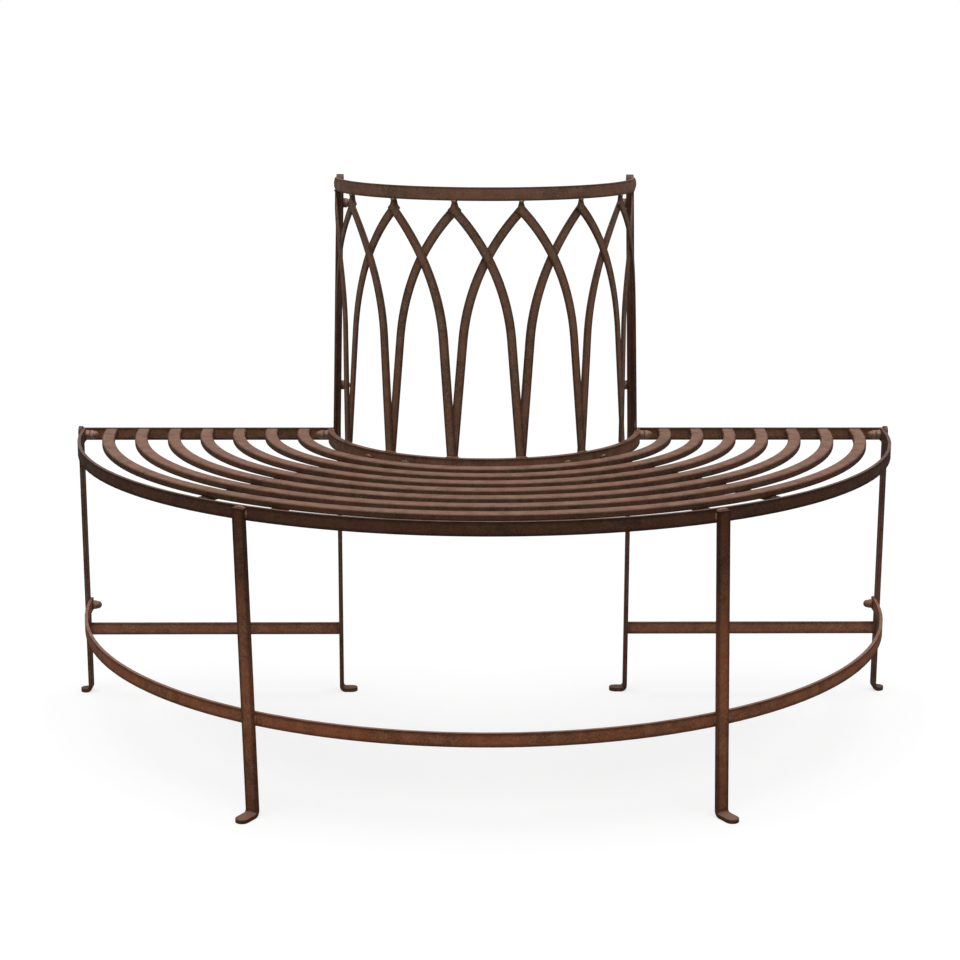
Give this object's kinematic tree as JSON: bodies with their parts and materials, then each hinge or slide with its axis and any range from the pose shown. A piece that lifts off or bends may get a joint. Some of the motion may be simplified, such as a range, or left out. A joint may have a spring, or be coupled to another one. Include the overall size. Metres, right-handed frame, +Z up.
{
  "type": "tree bench",
  "caption": "Half-round steel tree bench with a slatted seat and a leaning back of interlaced pointed arches, to stand against a trunk.",
  "frame": {"origin": "on the floor, in the middle of the bench's box: on its centre plane, half the seat's depth in front of the open back plane", "axes": "+X to the right of the bench seen from the front, +Y from the seat's front edge to its open back on the tree side, +Z up"},
  "size_m": [1.3394, 0.65, 0.854],
  "materials": {
    "frame_paint": "satin, mottled brown paint over steel",
    "fastener_paint": "satin, brown paint over steel nuts and bolts"
  },
  "bodies": {
    "root": {"seat_outer_rim": "frame_paint", "seat_inner_rim": "frame_paint", "seat_end_rail_left": "frame_paint", "seat_end_rail_right": "frame_paint", "seat_slat_1": "frame_paint", "seat_slat_2": "frame_paint", "seat_slat_3": "frame_paint", "seat_slat_4": "frame_paint", "seat_slat_5": "frame_paint", "seat_slat_6": "frame_paint", "seat_slat_7": "frame_paint", "seat_support_outer_left": "frame_paint", "seat_support_inner_left": "frame_paint", "seat_support_outer_right": "frame_paint", "seat_support_inner_right": "frame_paint", "lower_hoop": "frame_paint", "front_leg_left": "frame_paint", "rear_outer_leg_left": "frame_paint", "rear_stretcher_left": "frame_paint", "rear_inner_leg_left": "frame_paint", "back_stile_left": "frame_paint", "front_leg_right": "frame_paint", "rear_outer_leg_right": "frame_paint", "rear_stretcher_right": "frame_paint", "rear_inner_leg_right": "frame_paint", "back_stile_right": "frame_paint", "back_bottom_rail": "frame_paint", "back_top_rail": "frame_paint", "lattice_bar_fall_0": "frame_paint", "lattice_bar_fall_1": "frame_paint", "lattice_bar_fall_2": "frame_paint", "lattice_bar_fall_3": "frame_paint", "lattice_bar_fall_4": "frame_paint", "lattice_bar_fall_5": "frame_paint", "lattice_bar_fall_6": "frame_paint", "lattice_bar_rise_1": "frame_paint", "lattice_bar_rise_2": "frame_paint", "lattice_bar_rise_3": "frame_paint", "lattice_bar_rise_4": "frame_paint", "lattice_bar_rise_5": "frame_paint", "lattice_bar_rise_6": "frame_paint", "lattice_bar_rise_7": "frame_paint", "back_and_hoop_bolts": "fastener_paint", "seat_outer_bolts": "fastener_paint", "seat_inner_bolts": "fastener_paint", "hex_nuts": "fastener_paint", "cap_nuts": "fastener_paint"}
  },
  "joints": []
}
